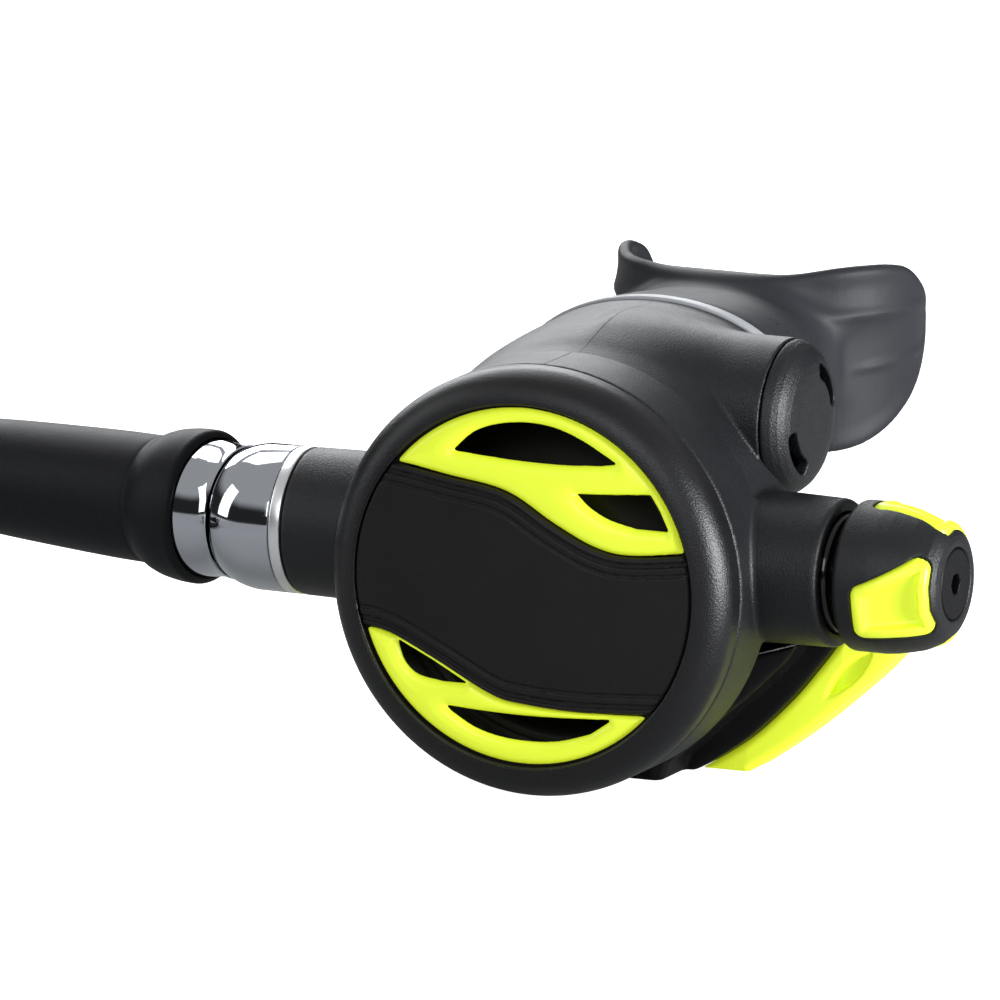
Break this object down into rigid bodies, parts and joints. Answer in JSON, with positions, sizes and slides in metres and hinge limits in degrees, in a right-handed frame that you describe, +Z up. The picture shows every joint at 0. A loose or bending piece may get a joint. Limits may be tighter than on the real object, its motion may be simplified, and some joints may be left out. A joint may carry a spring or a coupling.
{
  "type": "scuba regulator second stage with hose",
  "caption": "Demand valve with round purge cover, adjustment knob, side flow cap, mouthpiece, winged exhaust and a swivelling low-pressure hose wound in a loose coil.",
  "frame": {"origin": "bottom centre of the box round the regulator and its hose protector, without the free hose, its coil and its end fitting", "axes": "+X from the hose side to the knob side along the valve tube, +Y from the front cover to the mouth, +Z up"},
  "size_m": [0.4073, 0.1648, 0.074],
  "materials": {
    "case_plastic": "fine grain",
    "cover_plastic": "soft satin",
    "dark_plastic": "satin",
    "gloss_black": "gloss",
    "accent": "satin bright yellow-green",
    "silicone": "smooth silicone",
    "soft_silicone": "matte silicone",
    "tie_strap": "smooth light grey",
    "chrome": "polished",
    "valve_metal": "turned",
    "brass": "turned",
    "poppet_white": "smooth",
    "steel": "formed",
    "seal_rubber": "smooth",
    "vane_grey": "smooth",
    "protector_rubber": "matte",
    "hose_rubber": "fine cloth grain",
    "fitting_metal": "polished"
  },
  "bodies": {
    "case": {"case": "case_plastic", "retaining_ring": "case_plastic", "clamp_washer": "steel", "diaphragm": "soft_silicone", "valve_tube": "valve_metal", "inlet_orifice": "brass", "poppet_spring": "steel", "packing_nut": "gloss_black", "vane_cap": "case_plastic", "vane_spring": "steel", "exhaust_valve": "soft_silicone", "exhaust_deflector": "dark_plastic", "left_trim": "accent", "right_trim": "accent", "mouthpiece": "silicone", "mouthpiece_clamp": "tie_strap", "inlet_ring": "chrome", "hose_run": "hose_rubber", "hose_coil": "hose_rubber", "hose_tie": "protector_rubber", "end_ferrule": "fitting_metal", "end_fitting": "fitting_metal", "end_o_ring": "seal_rubber"},
    "cover": {"cover_band": "cover_plastic", "upper_grille": "accent", "lower_grille": "accent"},
    "plate": {"diaphragm_plate": "steel"},
    "lever": {"demand_lever": "steel"},
    "poppet": {"poppet": "poppet_white", "poppet_seat": "seal_rubber"},
    "spindle": {"adjusting_spindle": "valve_metal", "spindle_o_ring": "seal_rubber"},
    "knob": {"adjustment_knob": "case_plastic", "knob_grips": "accent", "knob_end_plug": "dark_plastic"},
    "vane": {"flow_vane": "vane_grey"},
    "swivel": {"swivel_sleeve": "chrome", "swivel_o_ring": "seal_rubber"},
    "hose_end": {"swivel_ball": "chrome", "hose_protector": "protector_rubber", "hose_stub": "hose_rubber"}
  },
  "joints": [
    {"name": "purge_press", "type": "slide", "parent": "case", "child": "cover", "axis": [0, 1, 0], "range_m": [0, 0.0026], "stiffness_N_per_m": 2200, "springref_m": -0.0015, "deforming": ["diaphragm"]},
    {"name": "plate_slide", "type": "slide", "parent": "case", "child": "plate", "axis": [0, 1, 0], "range_m": [0, 0.0026]},
    {"name": "lever_swing", "type": "hinge", "parent": "case", "child": "lever", "pos_m": [0.04729, -0.0334, 0.037], "axis": [0, 0, 1], "range_deg": [-16.55, 0]},
    {"name": "poppet_slide", "type": "slide", "parent": "case", "child": "poppet", "axis": [1, 0, 0], "range_m": [0, 0.0013], "deforming": ["poppet_spring"]},
    {"name": "knob_feed", "type": "slide", "parent": "case", "child": "spindle", "axis": [-1, 0, 0], "range_m": [0, 0.002]},
    {"name": "knob_turn", "type": "hinge", "parent": "spindle", "child": "knob", "pos_m": [0.09529, -0.0285, 0.037], "axis": [-1, 0, 0], "range_deg": [0, 180]},
    {"name": "vane_slide", "type": "slide", "parent": "case", "child": "vane", "axis": [-1, 0, 0], "range_m": [0, 0.003], "stiffness_N_per_m": 300, "springref_m": -0.002, "deforming": ["vane_spring"]},
    {"name": "swivel_turn", "type": "hinge", "parent": "case", "child": "swivel", "pos_m": [-0.01681, -0.0285, 0.037], "axis": [1, 0, 0], "continuous": true},
    {"name": "hose_swing", "type": "hinge", "parent": "case", "child": "hose_end", "pos_m": [-0.01681, -0.0285, 0.037], "axis": [0, 0, 1], "range_deg": [0, 30], "deforming": ["hose_run"]}
  ],
  "couplings": [
    {"joint": "plate_slide", "follows": "purge_press", "ratio": 1},
    {"joint": "lever_swing", "follows": "purge_press", "rad_per_m": -111.1},
    {"joint": "poppet_slide", "follows": "purge_press", "ratio": 0.5},
    {"joint": "knob_turn", "follows": "knob_feed", "rad_per_m": 1570.8}
  ]
}
